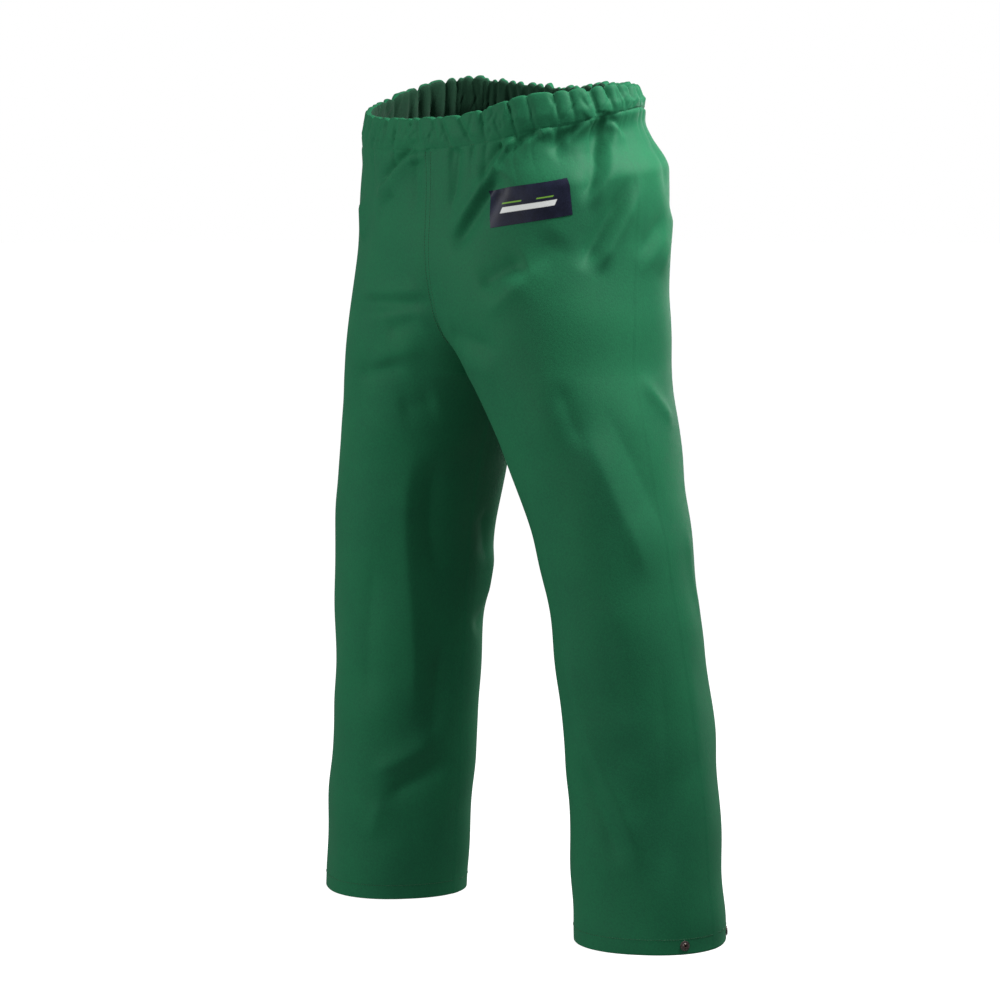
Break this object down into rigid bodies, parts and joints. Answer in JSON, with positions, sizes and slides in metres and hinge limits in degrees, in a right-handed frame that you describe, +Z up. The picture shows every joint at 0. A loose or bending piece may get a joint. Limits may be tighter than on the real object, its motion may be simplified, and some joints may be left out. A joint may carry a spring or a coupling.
{
  "type": "waterproof work overtrousers",
  "caption": "Pull-on coated work trousers with a gathered elastic waist, taped seams, stitched hems and hem snaps",
  "frame": {"origin": "on the floor under the middle of the garment's bounding box, the two hems standing on z = 0", "axes": "+Z up from hems to waist, -Y the way the wearer faces, +X the wearer's left"},
  "size_m": [0.6454, 0.293, 1.0577],
  "materials": {
    "cloth": "smooth polyurethane-coated knit, dark green, soft satin sheen",
    "thread": "green polyester sewing thread",
    "elastic": "woven rubber-cored elastic, off-white",
    "tape": "heat-sealed seam tape, smooth",
    "label": "heat-sealed printed label, navy black, low gloss",
    "snap": "darkened pressed metal snap parts"
  },
  "bodies": {
    "root": {"front_panel_left": "cloth", "back_panel_left": "cloth", "front_panel_right": "cloth", "back_panel_right": "cloth", "waist_elastic": "elastic", "waist_stitching": "thread", "hem_stitching_left": "thread", "front_seam_stitching_left": "thread", "back_seam_stitching_left": "thread", "hem_stitching_right": "thread", "front_seam_stitching_right": "thread", "back_seam_stitching_right": "thread", "front_seam_tape": "tape", "back_seam_tape": "tape", "side_seam_tape_left": "tape", "inside_leg_tape_left": "tape", "side_seam_tape_right": "tape", "inside_leg_tape_right": "tape", "label_patch": "label", "snap_stud_left": "snap", "snap_eyelet_left": "snap", "snap_cap_left": "snap", "snap_socket_left": "snap", "snap_stud_right": "snap", "snap_eyelet_right": "snap", "snap_cap_right": "snap", "snap_socket_right": "snap"}
  },
  "joints": []
}
